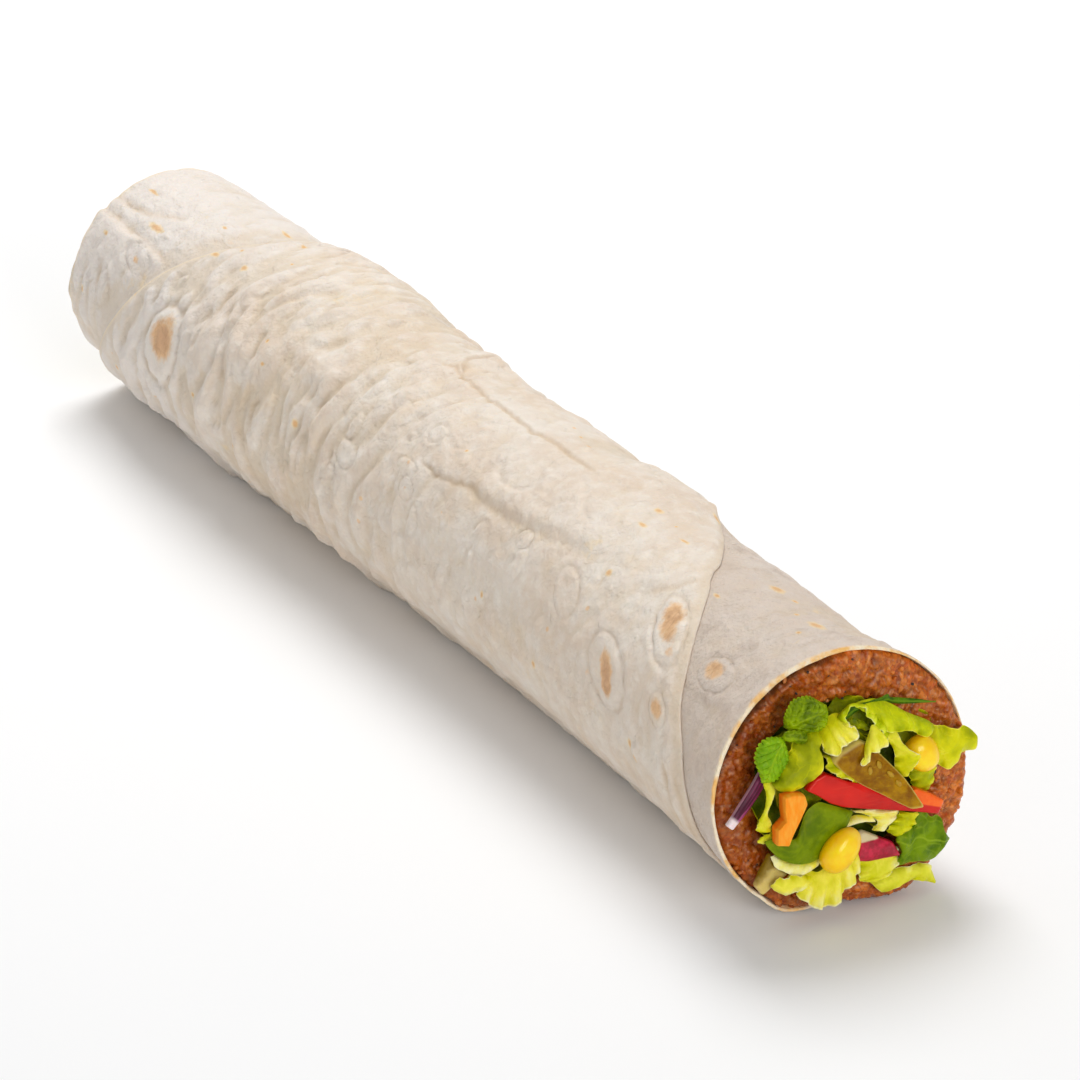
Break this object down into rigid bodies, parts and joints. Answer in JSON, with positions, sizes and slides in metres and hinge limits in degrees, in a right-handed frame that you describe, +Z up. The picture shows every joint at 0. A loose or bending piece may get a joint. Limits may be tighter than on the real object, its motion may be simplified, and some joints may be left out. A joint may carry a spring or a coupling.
{
  "type": "cig kofte wrap",
  "caption": "Thin flatbread rolled into a long tube round a spiced bulgur paste lining, with a salad core that swells out of the open end.",
  "frame": {"origin": "middle of the flat strip under the roll that it rests on", "axes": "+X along the roll towards its filled open mouth, +Z up"},
  "size_m": [0.2835, 0.0575, 0.0561],
  "materials": {
    "flatbread": "matt floury baked dough, cream with a few toasted blisters",
    "bulgur_paste": "grainy, moist, red-brown",
    "lettuce": "satin leaf with pale ribs",
    "sweetcorn": "glossy translucent skin",
    "pickled_cucumber": "wet and translucent",
    "red_pepper": "wet cut flesh and glossy skin",
    "carrot": "moist cut face",
    "mint": "quilted matt leaf",
    "dark_leaf": "satin leaf",
    "radish": "glossy skin, white flesh",
    "red_onion": "glossy, with a white end"
  },
  "bodies": {
    "root": {"flatbread": "flatbread", "kofte_lining": "bulgur_paste", "salad": "lettuce", "corn_kernel_upper": "sweetcorn", "corn_kernel_lower": "sweetcorn", "pickle_wedge": "pickled_cucumber", "pickle_slice": "pickled_cucumber", "red_pepper_strip": "red_pepper", "carrot_stick": "carrot", "mint_sprig": "mint", "spinach_leaf": "dark_leaf", "rocket_leaf": "dark_leaf", "herb_leaf": "dark_leaf", "radish_slice": "radish", "red_onion_strip": "red_onion"}
  },
  "joints": []
}
